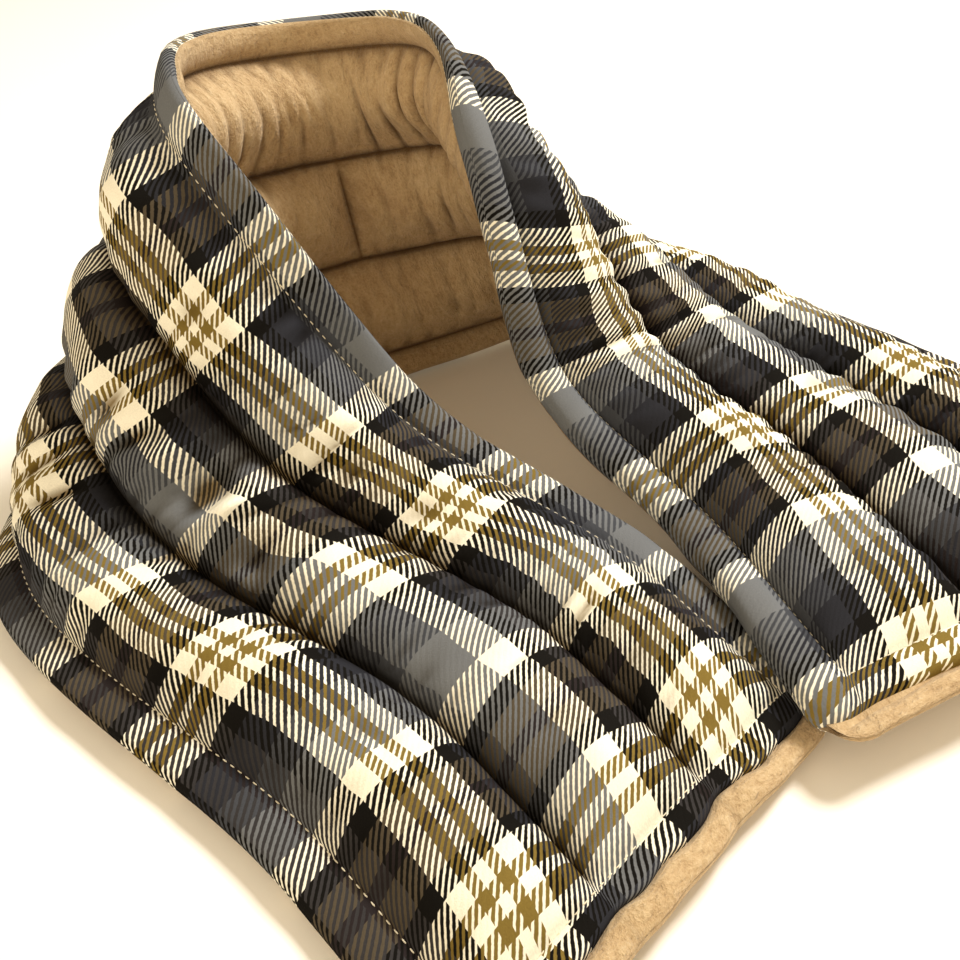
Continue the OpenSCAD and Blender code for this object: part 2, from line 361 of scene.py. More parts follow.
def steps(knots, fine, coarse, reach):
    """Rising values through every knot, close together near the knots."""
    values = [knots[0]]
    for lo, hi in zip(knots, knots[1:]):
        x = [lo]
        while x[-1] < hi:
            gap = min(x[-1] - lo, max(hi - x[-1], 0)) / reach
            x.append(x[-1] + fine + (coarse - fine) * min(1, gap))
        x = np.array(x)
        x = lo + (x - lo) * (hi - lo) / (x[-1] - lo)
        values.extend(x[1:])
    return np.array(values)


S_KNOTS = [0, STITCH, CROSS_S, BAND_L - STITCH, BAND_L]
C_KNOTS = [0, *CHANNELS, BAND_W]
GRID_S = steps(S_KNOTS, fine=0.8, coarse=1.4, reach=14)
GRID_C = steps(C_KNOTS, fine=0.75, coarse=1.5, reach=9)


def corners(s, c):
    """Rounds the rectangle's corners. Returns the moved s and c, the depth from the edge, and
    the outward direction."""
    ds, dc = np.minimum(s, BAND_L - s), np.minimum(c, BAND_W - c)
    vs, vc = np.maximum(CORNER_R - ds, 0), np.maximum(CORNER_R - dc, 0)
    most, far = np.maximum(vs, vc), np.hypot(vs, vc)
    k = most / np.maximum(far, TINY)
    vs, vc = vs * k, vc * k
    sign_s, sign_c = np.where(s < BAND_L / 2, -1, 1), np.where(c < BAND_W / 2, -1, 1)
    new_s = np.where(ds < CORNER_R, CORNER_R - vs, ds)
    new_c = np.where(dc < CORNER_R, CORNER_R - vc, dc)
    new_s = np.where(s < BAND_L / 2, new_s, BAND_L - new_s)
    new_c = np.where(c < BAND_W / 2, new_c, BAND_W - new_c)
    far = np.maximum(np.hypot(vs, vc), TINY)
    return new_s, new_c, np.minimum(ds, dc), sign_s * vs / far, sign_c * vc / far


def soften_floor(z, floor, reach=1.2):
    """z kept above floor, with a rounded turn."""
    return floor + reach * np.logaddexp(0, (z - floor) / reach)


def section(kind, s, c):
    """Place of a cloth's outer face: s, c and height, then its thickness and the shift in height
    that both cloths share."""
    side = 1 if kind == "plaid" else -1
    s1, c1, depth, out_s, out_c = corners(s, c)
    u = depth / STITCH
    in_roll = depth < STITCH
    at_end = out_s ** 2
    at_right_end = out_s.clip(0) * smooth(1 - u)
    share = at_end[..., None]
    roll = curve(ROLLS[kind, "end"], u) * share + curve(ROLLS[kind, "side"], u) * (1 - share)
    at_seams = sum(bell((c1 - seam) / END_PULL_RUN) for seam in SEAMS)
    pull = END_PULL * (at_seams + 0.5 * noise(c1 / 9, s1 / 90, 31)) * at_end * smooth(1 - u)
    inward = np.where(in_roll, roll[..., 0] - depth + pull, 0)
    full = PUFF[kind] * swell(kind, s1, c1)
    height = np.where(in_roll, roll[..., 1], side * (SEAM_T[kind] + full))
    height = height * np.where(in_roll & (side < 0), 1 - END_THIN * at_right_end, 1)
    start, run, crest, turned = FOLD
    folded = smooth((s1 - start) / run) * (c < BAND_W / 2) * (1 - at_end) * in_roll
    shift = folded * (crest * np.sin(np.pi * u.clip(0, 1)) * u - turned * (1 - u) ** 2)
    shift = shift - END_DROOP * (1 - c1 / BAND_W) * at_right_end
    t = ROLL_T + (THICK[kind] - ROLL_T) * smooth((depth - STITCH * 0.6) / STITCH)
    return s1 - out_s * inward, c1 - out_c * inward, height, t, shift


def cloth(kind):
    """Points of a cloth's outer and inner face over the whole grid, its cloth coordinates, and
    the painted shade that darkens each point in its hollows and seam valleys."""
    side = 1 if kind == "plaid" else -1
    s, c = np.meshgrid(GRID_S, GRID_C, indexing="ij")
    s1, c1, depth, out_s, out_c = corners(s, c)
    s2, c2, height, t, shift = section(kind, s, c)
    plain = place(s2, c2, height + shift)
    stretch = np.linalg.norm(np.gradient(plain, axis=0), axis=-1)
    stretch = ease_rows(stretch / np.gradient(GRID_S)[:, None], STRETCH_ROWS)
    detail = relief(kind, s1, c1, stretch) * smooth((depth - STITCH + 1) / 4)
    edge_wave = noise((s1 + c1) / 27, (s1 - c1) / 90, 21) + 0.5 * noise((s1 + c1) / 12, s1 / 90, 22)
    shift = shift + edge_wave * smooth(1 - (depth - 2) / STITCH)
    outer = place(s2, c2, height + side * detail + shift)
    inner_h = side * np.maximum(side * height + detail - t, LEAST_T)
    inner_c = c2 + np.sign(BAND_W / 2 - c2) * t * smooth(1 - depth / STITCH) * (side < 0)
    inner = place(s2, inner_c, inner_h + shift)
    away = smooth((depth - 2) / 6)
    for points, low, floor in zip((outer, inner), EDGE_FLOORS[kind], FLOORS[kind]):
        points[..., 2] = soften_floor(points[..., 2], low + (floor - low) * away)
    # Painted shade: how much the colour is darkened in the cloth's hollows and along its seam
    # valleys
    hollow = hollows(outer, side, depth) + seam_shade(side, s1, c1, depth)
    rolled = ROLL_CLOTH * (1 - depth / STITCH).clip(0) * (side < 0)
    drift = smooth((depth - 2) / STITCH)
    s_cloth = s1 + out_s * rolled + 2.2 * drift * noise(s1 / 31, c1 / 23, 41)
    v_cloth = np.interp(c1, *CLOTH_V) + out_c * rolled + 1.8 * drift * noise(s1 / 27, c1 / 25, 42)
    return {"outer": outer, "inner": inner, "s": s_cloth, "v": v_cloth, "hollow": hollow.clip(0, 1)}


def seam_shade(side, s, c, depth):
    """Extra painted shade in the narrow valleys of the seams, which are deepest at the bends, and
    along the lining's topstitching.
    """
    deep = np.interp(s, *zip(*VALLEY_SHADE)) if side > 0 else np.full_like(s, LINING_VALLEY_SHADE)
    shade = sum(bell((c - seam) / (2 + 1.8 * deep)) for seam in SEAMS)
    shade = shade * (0.3 + 0.6 * deep) * smooth((depth - STITCH) / 8)
    return shade if side > 0 else shade + 0.25 * bell((depth - STITCH) / 3)


# Painted shade in the cloth's hollows, from how far each point lies below its neighbours
HOLLOW_SCALES = ((2, 0.6), (5, 0.4))  # grid steps to the neighbours, and their share
HOLLOW_FULL = 0.35  # depth below the neighbours that counts as 1, for each of those steps
QUIET_SHADE = 0.8  # how much of the plaid's painted hollow shade is left out beside the topstitching


def hollows(points, side, depth):
    """Painted shade: how deep each point lies among its neighbours, from 0 to 1, weaker beside the
    plaid's topstitching.
    """
    r, c = points.shape[:2]
    total = np.zeros((r, c))
    out = normals(points) * side
    for reach, share in HOLLOW_SCALES:
        pad = np.pad(points, ((reach, reach), (reach, reach), (0, 0)), mode="edge")
        mean = (pad[:r, reach:-reach] + pad[2 * reach:, reach:-reach]
                + pad[reach:-reach, :c] + pad[reach:-reach, 2 * reach:]) / 4
        total += share * ((mean - points) * out).sum(-1) / (HOLLOW_FULL * reach)
    return total.clip(0, 1) * (1 - QUIET_SHADE * bell((depth - STITCH) / 4) * (side > 0))


def ease_rows(values, count):
    """Running mean along the band."""
    pad = np.pad(values, ((count, count), (0, 0)), mode="edge")
    total = np.cumsum(np.vstack([np.zeros((1, values.shape[1])), pad]), axis=0)
    n = 2 * count + 1
    return (total[n:] - total[:-n]) / n


CELL, CELLS = 2.0, 220  # size and number of the cells of a height map, each way
LAP_GAP = 0.8  # between the left leg's plaid and the lining that lies on it
LAP_FROM = 560.0  # the right leg is lifted only past here, along the band
LAP_SPREAD = 6  # how many cells the lift spreads


def rest_on_left(cloths):
    """Lifts the right leg where it lies on the left one."""
    half = len(GRID_S) // 2
    top = np.full((CELLS, CELLS), -np.inf)
    under = np.full((CELLS, CELLS), np.inf)

    def cells(points):
        return tuple(np.floor(points[..., k] / CELL).astype(int) + CELLS // 2 for k in (0, 1))

    left = cloths["plaid"]["outer"][:half].reshape(-1, 3)
    right = cloths["fleece"]["outer"][half:].reshape(-1, 3)
    np.maximum.at(top, cells(left), left[:, 2])
    np.minimum.at(under, cells(right), right[:, 2])
    need = np.maximum(top + LAP_GAP - under, 0)
    for _ in range(LAP_SPREAD):
        need = np.maximum(need, spread(need))
    need = spread(spread(need))
    for item in cloths.values():
        for face in ("outer", "inner"):
            points = item[face][half:]
            i, j = (points[..., k] / CELL + (CELLS - 1) / 2 for k in (0, 1))
            points[..., 2] += bilinear(need, i, j) * (GRID_S[half:, None] > LAP_FROM)
    return need.max()


def spread(field):
    """Mean of each cell with its eight neighbours."""
    pad = np.pad(field, 1, mode="edge")
    return sum(pad[1 + i:pad.shape[0] - 1 + i, 1 + j:pad.shape[1] - 1 + j]
               for i in (-1, 0, 1) for j in (-1, 0, 1)) / 9


def bilinear(field, i, j):
    """A field of cells read between their middles."""
    a, b = np.floor(i).astype(int), np.floor(j).astype(int)
    fx, fy = i - a, j - b
    return ((field[a, b] * (1 - fx) + field[a + 1, b] * fx) * (1 - fy)
            + (field[a, b + 1] * (1 - fx) + field[a + 1, b + 1] * fx) * fy)


def normals(points):
    """Unit normals of a grid, on the side that the rows and columns turn to."""
    n = np.cross(np.gradient(points, axis=0), np.gradient(points, axis=1))
    return n / np.maximum(np.linalg.norm(n, axis=-1, keepdims=True), TINY)


# ---- meshes ----

def add_mesh(name, points, faces, material, uv=None, vertex_normals=None):
    """A smooth mesh object. uv holds each layer's pair of values for every point."""
    mesh = bpy.data.meshes.new(name)
    mesh.from_pydata((np.asarray(points) / MM).tolist(), [], faces)
    mesh.polygons.foreach_set("use_smooth", np.ones(len(mesh.polygons), bool))
    loops = np.zeros(len(mesh.loops), int)
    mesh.loops.foreach_get("vertex_index", loops)
    for layer, values in (uv or {}).items():
        mesh.uv_layers.new(name=layer).data.foreach_set(
            "uv", np.asarray(values, np.float32)[loops].ravel())
    if vertex_normals is not None:
        mesh.normals_split_custom_set_from_vertices(vertex_normals.tolist())
    mesh.materials.append(material)
    obj = bpy.data.objects.new(name, mesh)
    bpy.context.scene.collection.objects.link(obj)
    return obj


def shell_faces(rows, columns, flip):
    """Quads of a closed shell of two grids, the outer one first."""
    ids = np.arange(rows * columns).reshape(rows, columns)
    under = ids + rows * columns

    def quads(a, b, c, d):
        return np.stack([x.ravel() for x in (a, b, c, d)], 1)

    def skin(g):
        return quads(g[:-1, :-1], g[1:, :-1], g[1:, 1:], g[:-1, 1:])

    parts = [skin(ids), skin(under)[:, ::-1]]
    for top, low in ((ids[0], under[0]), (ids[:, -1], under[:, -1]),
                     (ids[-1, ::-1], under[-1, ::-1]), (ids[::-1, 0], under[::-1, 0])):
        parts.append(quads(top[:-1], top[1:], low[1:], low[:-1]))
    faces = np.vstack(parts)
    return (faces[:, ::-1] if flip else faces).tolist()


# Each side's leg, the place of its soft hinge in the stations' plan, and the way to the neck
SIDES = {
    "left": {"leg": "left_leg", "at": (-67, -34, 0), "way": (0.50, 0.87, 0)},
    "right": {"leg": "right_leg", "at": (58, -58, 0), "way": (-0.50, 0.87, 0)},
}


def column(c):
    """The grid column nearest to c."""
    return int(np.argmin(np.abs(GRID_C - c)))


def row(s):
    """The grid row nearest to s."""
    return int(np.argmin(np.abs(GRID_S - s)))


def half_rows(side):
    """The grid rows on one side of the cross seam."""
    return slice(0, row(CROSS_S) + 1) if side == "left" else slice(row(CROSS_S), len(GRID_S))


def bend(obj):
    """Bakes a piece's placement into its mesh."""
    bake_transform(obj)


# ---- materials ----

def linear(r, g, b):
    """A scene-linear colour from 0-255 display values."""
    return tuple((x / 255 / 12.92 if x <= 10 else ((x / 255 + 0.055) / 1.055) ** 2.4)
                 for x in (r, g, b)) + (1.0,)


SHADE_TINT = (0.92, 1.0, 1.1)  # painted shade in a hollow takes away least red and most blue
SHADE_MOST = 0.97  # the most light that painted shade in a hollow takes away


class Graph:
    """Shorthand for building a material's node tree."""

    def __init__(self, name):
        self.material = bpy.data.materials.new(name)
        self.material.use_nodes = True
        self.tree = self.material.node_tree
        self.shader = self.tree.nodes["Principled BSDF"]

    def node(self, kind, **settings):
        made = self.tree.nodes.new(kind)
        for key, value in settings.items():
            setattr(made, key, value)
        return made

    def link(self, source, target):
        self.tree.links.new(source, target)

    def put(self, socket, value):
        """Links a socket to another one, or sets it to a plain value."""
        if isinstance(value, bpy.types.NodeSocket):
            self.link(value, socket)
        else:
            socket.default_value = value

    def math(self, operation, a, b=0.0, c=0.0):
        made = self.node("ShaderNodeMath", operation=operation)
        for socket, value in zip(made.inputs, (a, b, c)):
            self.put(socket, value)
        return made.outputs[0]

    def weighted(self, *parts):
        """Sum of (value, weight) pairs."""
        total = None
        for value, weight in parts:
            part = value if weight == 1 else self.math("MULTIPLY", value, weight)
            total = part if total is None else self.math("ADD", total, part)
        return total

    def mix(self, share, a, b, blend="MIX"):
        """Two colours mixed. The node's colour sockets are its inputs 6 and 7 and its output 2."""
        made = self.node("ShaderNodeMix", data_type="RGBA", blend_type=blend)
        self.put(made.inputs[0], share)
        self.put(made.inputs[6], a)
        self.put(made.inputs[7], b)
        return made.outputs[2]

    def uv(self, layer):
        return self.node("ShaderNodeUVMap", uv_map=layer).outputs[0]

    def scaled(self, vector, x, y):
        """A vector with its first two parts multiplied."""
        made = self.node("ShaderNodeVectorMath", operation="MULTIPLY")
        self.link(vector, made.inputs[0])
        made.inputs[1].default_value = (x, y, 1)
        return made.outputs[0]

    def noise(self, vector, scale, detail=2.0, rough=0.5):
        made = self.node("ShaderNodeTexNoise")
        self.link(vector, made.inputs["Vector"])
        made.inputs["Scale"].default_value = scale
        made.inputs["Detail"].default_value = detail
        made.inputs["Roughness"].default_value = rough
        return made.outputs["Fac"]

    def grey(self, colour):
        """How bright a colour is."""
        made = self.node("ShaderNodeRGBToBW")
        self.link(colour, made.inputs[0])
        return made.outputs[0]

    def shaded(self, colour, depth):
        """The colour with painted shade: darker by depth in the cloth's hollows and seam valleys."""
        split = self.node("ShaderNodeSeparateXYZ")
        self.link(self.uv("painted_shade_uv"), split.inputs[0])
        lit = self.node("ShaderNodeCombineColor")
        for socket, tint in zip(lit.inputs, SHADE_TINT):
            loss = self.math("MULTIPLY", split.outputs[0], min(depth * tint, SHADE_MOST))
            self.link(self.math("SUBTRACT", 1.0, loss), socket)
        return self.mix(1.0, colour, lit.outputs[0], "MULTIPLY")

    def ramp(self, value, stops, hard=False):
        """Colour stops, blended or with hard edges."""
        made = self.node("ShaderNodeValToRGB")
        made.color_ramp.interpolation = "CONSTANT" if hard else "LINEAR"
        points = made.color_ramp.elements
        while len(points) < len(stops):
            points.new(0.5)
        for point, (position, colour) in zip(points, stops):
            point.position = position
            point.color = colour
        self.link(value, made.inputs[0])
        return made.outputs[0]

    def bump(self, height, distance, strength=1.0, under=None):
        made = self.node("ShaderNodeBump")
        made.inputs["Strength"].default_value = strength
        made.inputs["Distance"].default_value = distance
        self.link(height, made.inputs["Height"])
        if under is not None:
            self.link(under, made.inputs["Normal"])
        return made.outputs[0]

    def finish(self, colour, rough, bump=None, sheen=0.0, sheen_rough=0.5, specular=0.2):
        self.put(self.shader.inputs["Base Color"], colour)
        self.put(self.shader.inputs["Roughness"], rough)
        self.shader.inputs["Sheen Weight"].default_value = sheen
        self.shader.inputs["Sheen Roughness"].default_value = sheen_rough
        self.shader.inputs["Specular IOR Level"].default_value = specular
        if bump is not None:
            self.link(bump, self.shader.inputs["Normal"])
        return self.material


CREAM = linear(246, 240, 220)
BLACK = linear(11, 10, 9)
OLIVE = linear(122, 102, 48)
BROWN = linear(80, 71, 57)
SLATE = linear(52, 50, 51)
DEEP = linear(38, 32, 33)
LIGHT = linear(109, 111, 113)
MID = linear(66, 68, 73)
DARK = linear(39, 40, 46)
FLEECE_TONES = [(0.34, linear(150, 120, 82)), (0.47, linear(192, 162, 120)),
                (0.56, linear(208, 181, 139)), (0.68, linear(228, 206, 170))]
THREAD_TONES = [(0.3, linear(206, 192, 160)), (0.7, linear(246, 238, 216))]
GRAIN_TONES = [(0.1, linear(206, 176, 112)), (0.6, linear(160, 124, 66))]
GRAINS_PER_M = 280  # scale of the grain's pattern
# One repeat of the plaid's warp: where each stripe starts, from the edge of the olive group
WARP = [
    (0.0, CREAM), (0.056, OLIVE), (0.092, CREAM), (0.122, OLIVE), (0.158, CREAM),
    (0.214, BLACK), (0.266, BROWN), (0.352, DEEP), (0.397, BROWN), (0.472, BLACK),
    (0.530, CREAM), (0.627, LIGHT), (0.767, MID), (0.851, DARK), (0.948, BLACK),
]
# The weft is the same, with slate yarn for the brown
WEFT = [(start, SLATE if colour == BROWN else colour) for start, colour in WARP]
SETT_START = 0.107  # middle of the olive group, in one repeat
REPEAT_V = 100.0  # cloth across the band in one repeat
FIRST_V = 48.0  # the first olive group across the band
# Where the olive groups fall along the band
PATTERN_AT = [22, 134, 245, 348, 452, 560, 668, 774]
REPEAT_S = (111.0, 106.0)  # one repeat before the first group, and after the last
DARK_SHARE = 0.13  # how much more of a twill line the dark yarn takes from the pale one
TWILL = 2.4  # from one twill line to the next, along the band
TWILL_WANDER = 0.24  # how far the twill lines stray, in lines
TWILL_EDGE = (0.39, 0.61)  # the weft turns to the warp across this stretch of a twill ridge
WORN = linear(150, 138, 120)  # colour of the rubbed nap over the yarns
WORN_SHARE = 0.012  # how much of it shows


def sett_uv(s, v):
    """Place in the plaid's repeat, warp then weft, from cloth coordinates."""
    at = np.array([PATTERN_AT[0] - REPEAT_S[0], *PATTERN_AT, PATTERN_AT[-1] + REPEAT_S[1]])
    u = np.interp(s, at, np.arange(-1, len(at) - 1))
    return np.stack([u + SETT_START, (v - FIRST_V) / REPEAT_V + SETT_START], -1)


def plaid_material():
    """Plaid of warp and weft stripes, woven in twill lines, with a fuzzy nap."""
    g = Graph("plaid_flannel")
    cloth_uv = g.uv("cloth")
    split = g.node("ShaderNodeSeparateXYZ")
    g.link(g.uv("sett"), split.inputs[0])
    warp = g.ramp(g.math("FRACT", split.outputs[0]), WARP, hard=True)
    weft = g.ramp(g.math("FRACT", split.outputs[1]), WEFT, hard=True)
    mm = g.node("ShaderNodeSeparateXYZ")
    g.link(cloth_uv, mm.inputs[0])
    wander = g.math("MULTIPLY", g.noise(cloth_uv, scale=0.9), TWILL_WANDER)
    line = g.math("DIVIDE", g.math("ADD", mm.outputs[0], mm.outputs[1]), TWILL)
    saw = g.math("FRACT", g.math("ADD", line, wander))
    ridge = g.math("PINGPONG", g.math("MULTIPLY", saw, 2.0), 1.0)
    paler = g.math("SUBTRACT", g.grey(weft), g.grey(warp))
    over = g.node("ShaderNodeMapRange", clamp=True)
    g.link(g.math("ADD", ridge, g.math("MULTIPLY", paler, DARK_SHARE)), over.inputs[0])
    for socket, edge in zip(over.inputs[1:3], TWILL_EDGE):
        socket.default_value = edge
    woven = g.mix(over.outputs[0], weft, warp)
    fuzz = g.noise(cloth_uv, scale=2.2, detail=3.0, rough=0.65)
    blotch = g.noise(cloth_uv, scale=0.05, detail=3.0)
    shade = g.math("ADD", g.weighted((fuzz, 0.4), (blotch, 0.3)), 0.65)
    worn = g.mix(WORN_SHARE, woven, WORN)
    grey = g.node("ShaderNodeCombineColor")
    for socket in grey.inputs:
        g.link(shade, socket)
    # painted shade in the plaid's hollows and seam valleys
    colour = g.shaded(g.mix(1.0, worn, grey.outputs[0], "MULTIPLY"), depth=0.8)
    bump = g.bump(g.weighted((ridge, 0.35), (fuzz, 0.9)), distance=0.0003, strength=0.55)
    return g.finish(colour, rough=0.9, bump=bump, specular=0.06)


def fleece_material():
    """Tan fleece with a fine pile over soft clumps, longer across the band than along it."""
    g = Graph("tan_fleece")
    cloth_uv = g.uv("cloth")
    pile = g.noise(g.scaled(cloth_uv, 1.0, 0.5), scale=0.7, detail=4.0, rough=0.62)
    fibre = g.noise(g.scaled(cloth_uv, 1.0, 0.4), scale=2.4, detail=3.0, rough=0.7)
    clump = g.noise(g.scaled(cloth_uv, 1.0, 0.6), scale=0.2, detail=4.0, rough=0.6)
    patch = g.noise(cloth_uv, scale=0.04, detail=3.0)
    speckle = g.noise(cloth_uv, scale=1.1, detail=3.0, rough=0.75)
    tone = g.weighted((pile, 0.25), (clump, 0.25), (patch, 0.2), (speckle, 0.3))
    # painted shade in the lining's hollows, seam valleys and topstitching
    colour = g.shaded(g.ramp(tone, FLEECE_TONES), depth=0.85)
    height = g.weighted((pile, 1.0), (fibre, 0.4), (speckle, 0.4))
    soft = g.bump(clump, distance=0.004, strength=0.6)
    bump = g.bump(height, distance=0.0012, strength=0.7, under=soft)
    return g.finish(colour, rough=0.95, bump=bump, sheen=0.15, sheen_rough=0.6)


def thread_material():
    """Cream thread, paler and darker with its twist."""
    g = Graph("cream_thread")
    twist = g.noise(g.uv("cloth"), scale=2.0, detail=1.0)
    bump = g.bump(twist, distance=0.0001, strength=0.5)
    return g.finish(g.ramp(twist, THREAD_TONES), rough=0.6, bump=bump, sheen=0.1)


def grain_material():
    """Small husked grains, packed together."""
    g = Graph("grain")
    coords = g.node("ShaderNodeTexCoord").outputs["Object"]
    cells = g.node("ShaderNodeTexVoronoi")
    g.link(coords, cells.inputs["Vector"])
    cells.inputs["Scale"].default_value = GRAINS_PER_M
    husk = g.noise(coords, scale=900)
    tone = g.weighted((cells.outputs["Distance"], 0.7), (husk, 0.4))
    bump = g.bump(cells.outputs["Distance"], distance=-0.001)
    return g.finish(g.ramp(tone, GRAIN_TONES), rough=0.7, bump=bump)


# ---- stitches ----

PITCH, STITCH_L, THREAD_R = 3.1, 2.0, 0.2  # stitch to stitch, a stitch's length, thread radius
EDGE_LIFT, CHANNEL_LIFT = 0.05, -0.35  # of the thread from the cloth: a channel seam lies deeper
# Along one stitch: place as a share of its length, height and thickness as a share
BITS = np.array([0, 0.12, 0.35, 0.65, 0.88, 1])
ARCH = np.array([-0.6, -0.1, 0.1, 0.1, -0.1, -0.6])
TAPER = np.array([0.5, 0.9, 1, 1, 0.9, 0.5])
AROUND = np.arange(6) * np.pi / 3


def stitch_mesh(points, outs, lift, first):
    """Arched stitches along a path. Returns points, faces and cloth coordinates. The faces count
    points from first."""
    gaps = np.linalg.norm(np.diff(points, axis=0), axis=1)
    run = np.concatenate([[0], np.cumsum(gaps)])
    count = int(run[-1] // PITCH)
    margin = (run[-1] - count * PITCH) / 2
    ring, rings = len(AROUND), len(BITS)
    verts, faces, uvs = [], [], []
    for k in range(count):
        at = margin + k * PITCH + (PITCH - STITCH_L) / 2 + BITS * STITCH_L
        p = np.stack([np.interp(at, run, points[:, i]) for i in range(3)], 1)
        n = np.stack([np.interp(at, run, outs[:, i]) for i in range(3)], 1)
        n /= np.linalg.norm(n, axis=1, keepdims=True)
        way = np.gradient(p, axis=0)
        way /= np.linalg.norm(way, axis=1, keepdims=True)
        across = np.cross(way, n)
        p = p + n * (ARCH + lift)[:, None]
        spokes = across[:, None] * np.cos(AROUND)[:, None] + n[:, None] * np.sin(AROUND)[:, None]
        tube = p[:, None] + (THREAD_R * TAPER)[:, None, None] * spokes
        verts.append(tube.reshape(-1, 3))
        uvs.append(np.stack([np.repeat(at, ring), np.tile(AROUND, rings)], 1))
        for i in range(first, first + (rings - 1) * ring, ring):
            for j in range(ring):
                a, b = i + j, i + (j + 1) % ring
                faces.append((a, b, b + ring, a + ring))
        last = first + (rings - 1) * ring
        faces.append(tuple(range(first + ring - 1, first - 1, -1)))
        faces.append(tuple(range(last, last + ring)))
        first += ring * rings
    return np.vstack(verts), faces, np.vstack(uvs)


def add_stitches(name, paths, material, lift=EDGE_LIFT):
    """One object of stitches along every path, each of which is points and their normals."""
    verts, faces, uvs = [], [], []
    for points, outs in paths:
        p, f, uv = stitch_mesh(points, outs, lift, first=sum(map(len, verts)))
        verts.append(p)
        faces.extend(f)
        uvs.append(uv)
    return add_mesh(name, np.vstack(verts), faces, material, {"cloth": np.vstack(uvs)})


# ---- building the wrap ----

# Each cloth's name in its nodes, its material slot, and the side of the grid that it shows
CLOTHS = {"plaid": ("plaid_face", "plaid_flannel", 1), "fleece": ("fleece_lining", "tan_fleece", -1)}


def build_cloths(cloths, materials):
    """Plaid face and fleece lining, each in a left and a right half that meet behind the neck."""
    for kind, item in cloths.items():
        name, slot, out = CLOTHS[kind]
        outward, under = normals(item["outer"]) * out, normals(item["inner"]) * -out
        for side, facts in SIDES.items():
            rows = half_rows(side)
            s, v, hollow = (item[key][rows].ravel() for key in ("s", "v", "hollow"))
            # the painted shade of hollows and seam valleys goes to the material in a uv layer of its
            # own
            uv = {"cloth": both(np.stack([s, v], -1)), "painted_shade_uv": both(np.stack([hollow, hollow], -1))}
            if kind == "plaid":
                uv["sett"] = both(sett_uv(s, v))
            points = np.vstack([item[face][rows].reshape(-1, 3) for face in ("outer", "inner")])
            turned = np.vstack([n[rows].reshape(-1, 3) for n in (outward, under)])
            faces = shell_faces(*item["outer"][rows].shape[:2], flip=out < 0)
            obj = add_mesh(f"{side}_{name}", points, faces, materials[kind], uv, turned)
            bend(obj)
            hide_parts(f"{facts['leg']}_{name}", f"neck_{name}")


def both(values):
    """The same values for a shell's outer and inner points."""
    return np.tile(values, (2, 1))


def build_stitches(cloths, material):
    """Topstitching, channel seams and the cross seam, on the plaid's face."""
    face = cloths["plaid"]["outer"]
    out = normals(face)

    def lengthwise(c, rows):
        return face[rows, column(c)], out[rows, column(c)]

    def crosswise(k, start, stop):
        columns = slice(column(start), column(stop) + 1)
        return face[k, columns], out[k, columns]

    ends = {"left": row(STITCH), "right": row(BAND_L - STITCH)}
    for side, k in ends.items():
        leg, rows = SIDES[side]["leg"], half_rows(side)
        rows = slice(k, rows.stop) if side == "left" else slice(rows.start, k + 1)
        edges = [lengthwise(c, rows) for c in (STITCH, BAND_W - STITCH)]
        edge = add_stitches(f"{side}_edge_stitches", edges, material)
        bend(edge)
        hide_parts(f"{leg}_edge_stitching", "neck_edge_stitching")
        channels = [lengthwise(c, rows) for c in SEAMS]
        seams = add_stitches(f"{side}_channel_stitches", channels, material, CHANNEL_LIFT)
        bend(seams)
        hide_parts(f"{leg}_channel_seams", "neck_channel_seams")
        across = [crosswise(k, STITCH, BAND_W - STITCH)]
        end = add_stitches(f"{side}_end_stitches", across, material)
        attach(end, leg)
        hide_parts(f"{leg}_end_stitching")
    cross = add_stitches("cross_seam_stitches", [crosswise(row(CROSS_S), *SEAMS)], material)
    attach(cross, "neck")
    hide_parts("neck_cross_seam")


# The grain in each pocket: (node, body, channel, start and stop along the band)
FILLS = [
    ("left_leg_inner_fill", "left_leg", 0, 18, 300),
    ("left_leg_middle_fill", "left_leg", 1, 18, 300),
    ("left_leg_outer_fill", "left_leg", 2, 18, 300),
    ("neck_inner_fill", "neck", 0, 345, 435),
    ("neck_middle_fill_left", "neck", 1, 345, 397),
    ("neck_middle_fill_right", "neck", 1, 417, 440),
    ("neck_outer_fill", "neck", 2, 345, 430),
    ("right_leg_inner_fill", "right_leg", 0, 480, 762),
    ("right_leg_middle_fill", "right_leg", 1, 480, 762),
    ("right_leg_outer_fill", "right_leg", 2, 480, 762),
]
GRAIN_FULL, GRAIN_LEAST = 0.82, 0.02  # share of the gap that it fills: on a crest, at its rim
GRAIN_ENDS, GRAIN_SIDES = 0.25, 0.4  # powers of its rounding along and across: less is squarer
GRAIN_STEP = 2  # its grid uses every second row and column of the cloth's
GRAIN_MARGIN = 5  # and leaves out this many columns beside a seam


def dome(count, power):
    """Values that rise from 0 at the first to 1 in the middle and fall back."""
    return np.sin(np.pi * np.arange(count) / (count - 1)) ** power


def build_fills(cloths, material):
    """Grain between the two cloths, a little smaller than its channel."""
    top, low = cloths["plaid"]["inner"], cloths["fleece"]["inner"]
    for name, body, channel, start, stop in FILLS:
        first, last = column(CHANNELS[channel]), column(CHANNELS[channel + 1])
        rows = np.arange(row(start), row(stop) + 1, GRAIN_STEP)
        cols = np.arange(first + GRAIN_MARGIN, last - GRAIN_MARGIN + 1, GRAIN_STEP)
        a, b = top[np.ix_(rows, cols)], low[np.ix_(rows, cols)]
        middle, half = (a + b) / 2, (a - b) / 2
        shape = np.outer(dome(len(rows), GRAIN_ENDS), dome(len(cols), GRAIN_SIDES))
        half = half * (GRAIN_FULL * shape + GRAIN_LEAST)[..., None]
        points = np.vstack([(middle + half).reshape(-1, 3), (middle - half).reshape(-1, 3)])
        faces = shell_faces(len(rows), len(cols), flip=False)
        obj = add_mesh(f"{name}_grain", points, faces, material)
        if body == "neck":
            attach(obj, body)
        else:
            bend(obj)
        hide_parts(name)


# ---- floor, light and camera ----

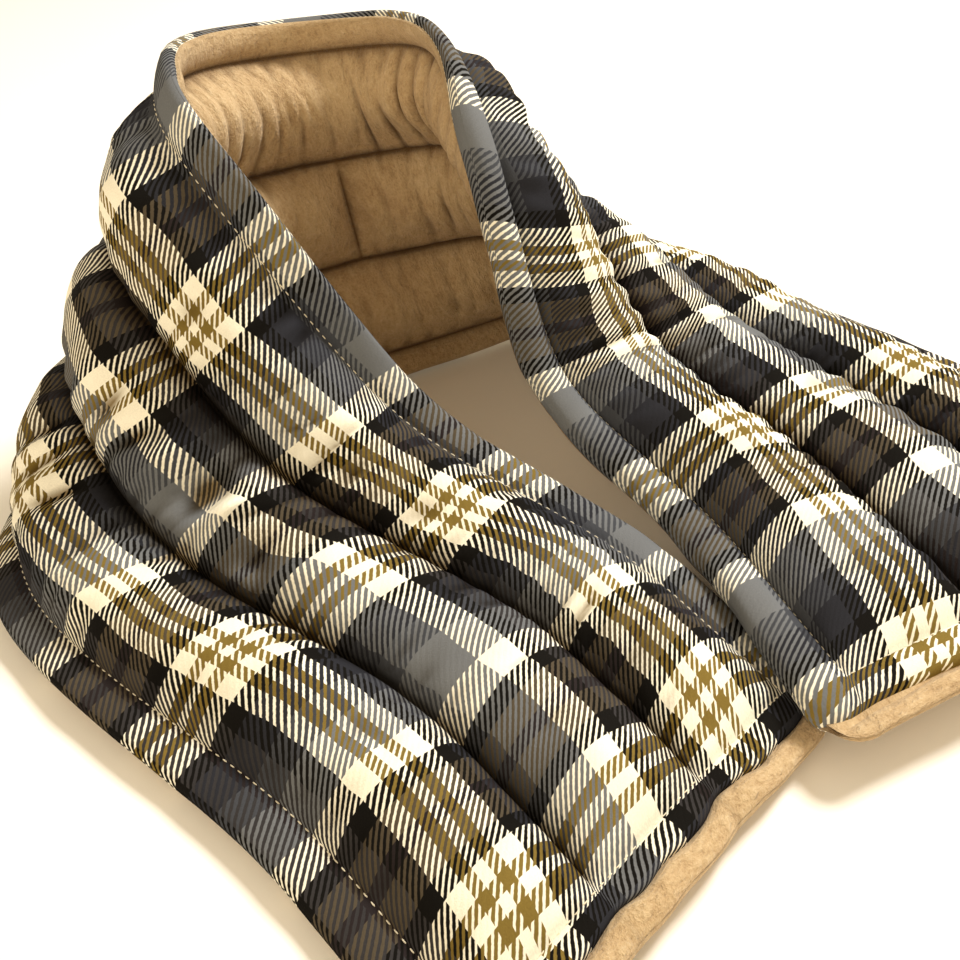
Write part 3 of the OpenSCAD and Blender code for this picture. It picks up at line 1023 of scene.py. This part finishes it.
FLOOR_HALF, FLOOR_Z = 4000.0, -0.4  # half its width, and its height just under the wrap
FLOOR_COLOUR = (0.98, 0.94, 0.86, 1)
SKY_COLOUR, SKY_STRENGTH = (1.0, 0.83, 0.60, 1), 0.68
AIM = Vector((0, 0, 0.05))  # where the lights point
CAMERA_AT = (-0.1930, -0.2221, 0.2428)  # metres
CAMERA_TURN = (-35.5, 37.3, -5.1)  # degrees: to the left of +Y, down, and over
CAMERA_LENS = 40.7  # focal length


def build_stage():
    """A pale floor under a warm, even sky."""
    pale = Graph("floor").finish(FLOOR_COLOUR, rough=0.9)
    plan = [(-1, -1), (1, -1), (1, 1), (-1, 1)]
    points = [(x * FLOOR_HALF, y * FLOOR_HALF, FLOOR_Z) for x, y in plan]
    add_mesh("floor", points, [(0, 1, 2, 3)], pale)
    world = bpy.data.worlds.new("studio")
    bpy.context.scene.world = world
    world.use_nodes = True
    background = world.node_tree.nodes["Background"]
    background.inputs["Color"].default_value = SKY_COLOUR
    background.inputs["Strength"].default_value = SKY_STRENGTH


def add_light(name, at, power, size, colour):
    """A square area light that points at the wrap."""
    light = bpy.data.lights.new(name, "AREA")
    light.energy = power
    light.size = size
    light.color = colour
    obj = bpy.data.objects.new(name, light)
    obj.location = at
    obj.rotation_euler = (AIM - Vector(at)).to_track_quat("-Z", "Y").to_euler()
    bpy.context.scene.collection.objects.link(obj)


def build_camera():
    """The camera, from its place and its three turns."""
    yaw, pitch, roll = (math.radians(a) for a in CAMERA_TURN)
    ahead = Vector((-math.sin(yaw) * math.cos(pitch), math.cos(yaw) * math.cos(pitch),
                    -math.sin(pitch)))
    right = Vector((math.cos(yaw), math.sin(yaw), 0))
    up = right.cross(ahead)
    right, up = (right * math.cos(roll) + up * math.sin(roll),
                 up * math.cos(roll) - right * math.sin(roll))
    camera = bpy.data.objects.new("camera", bpy.data.cameras.new("camera"))
    camera.data.lens = CAMERA_LENS
    turn = Matrix((right, up, -ahead)).transposed().to_4x4()
    camera.matrix_world = Matrix.Translation(CAMERA_AT) @ turn
    camera.data.clip_start = 0.01
    bpy.context.scene.collection.objects.link(camera)
    bpy.context.scene.camera = camera


cloths = {kind: cloth(kind) for kind in ("plaid", "fleece")}
lifted = rest_on_left(cloths)
print("right leg lifted by", round(float(lifted), 2), "mm")
materials = {"plaid": plaid_material(), "fleece": fleece_material()}
build_cloths(cloths, materials)
build_stitches(cloths, thread_material())
build_fills(cloths, grain_material())
build_stage()
add_light("key", at=(1.05, 0.0, 1.3), power=35, size=0.4, colour=(1.0, 0.98, 0.94))
add_light("fill", at=(-1.4, -0.7, 0.8), power=10, size=1.2, colour=(1.0, 0.88, 0.68))
build_camera()
bpy.context.scene.view_settings.view_transform = "Standard"
